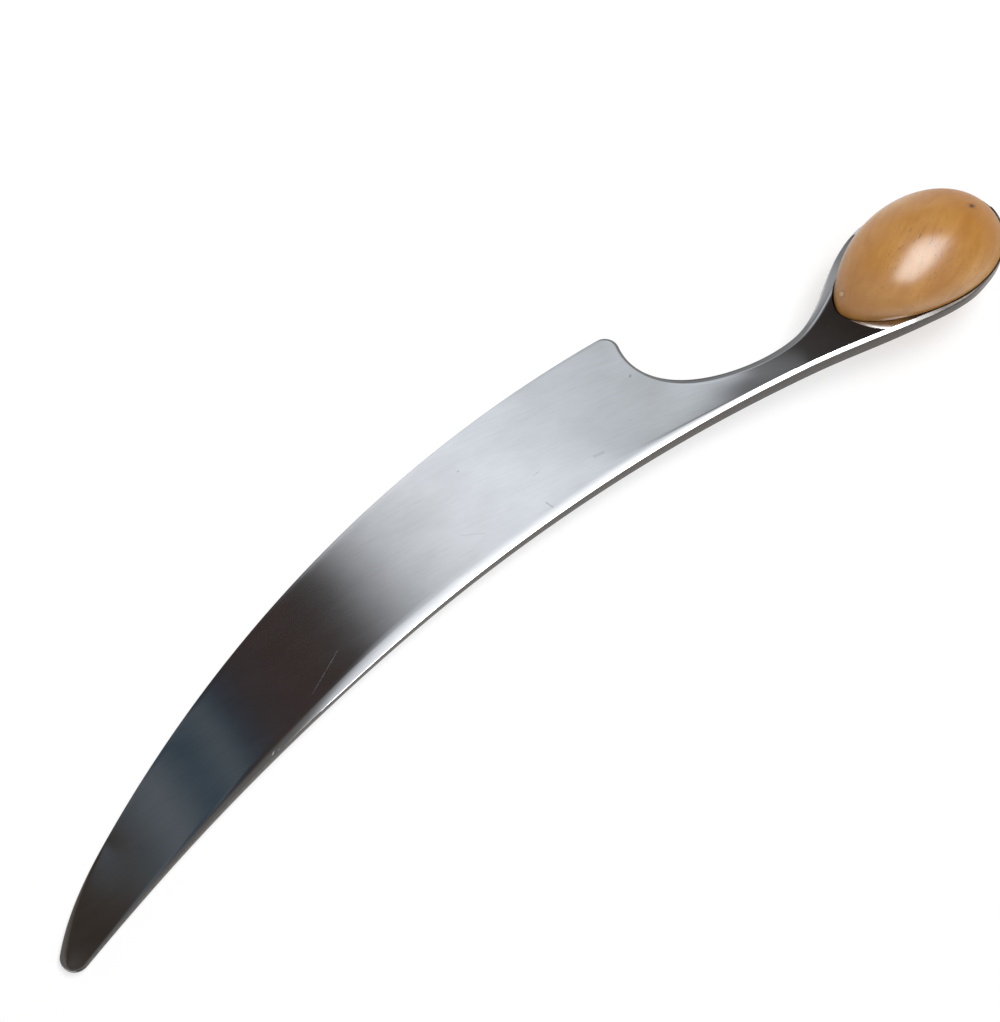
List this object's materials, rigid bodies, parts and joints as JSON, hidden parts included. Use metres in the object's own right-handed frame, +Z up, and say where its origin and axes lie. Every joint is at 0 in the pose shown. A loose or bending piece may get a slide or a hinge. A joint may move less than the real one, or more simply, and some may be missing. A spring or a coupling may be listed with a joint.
{
  "type": "cheese knife",
  "caption": "Curved cheese knife: a scimitar steel blade with a finger notch and a slim neck that opens into an oval ring, which holds a wooden egg as the handle.",
  "frame": {"origin": "on the table, under the middle of the knife's box as it lies at rest", "axes": "+X from the tip of the blade to the butt of the egg, +Y from the spine to the cutting edge, +Z up from the table"},
  "size_m": [0.2486, 0.044, 0.0247],
  "materials": {
    "steel": "satin, finely brushed along the blade",
    "egg_wood": "oiled and polished to a satin gloss",
    "dowel_wood": "raw turned beech",
    "adhesive": "cured resin"
  },
  "bodies": {
    "root": {"steel_blank": "steel", "upper_egg_half": "egg_wood", "lower_egg_half": "egg_wood", "upper_bond": "adhesive", "lower_bond": "adhesive", "front_dowel": "dowel_wood", "rear_dowel": "dowel_wood"}
  },
  "joints": []
}
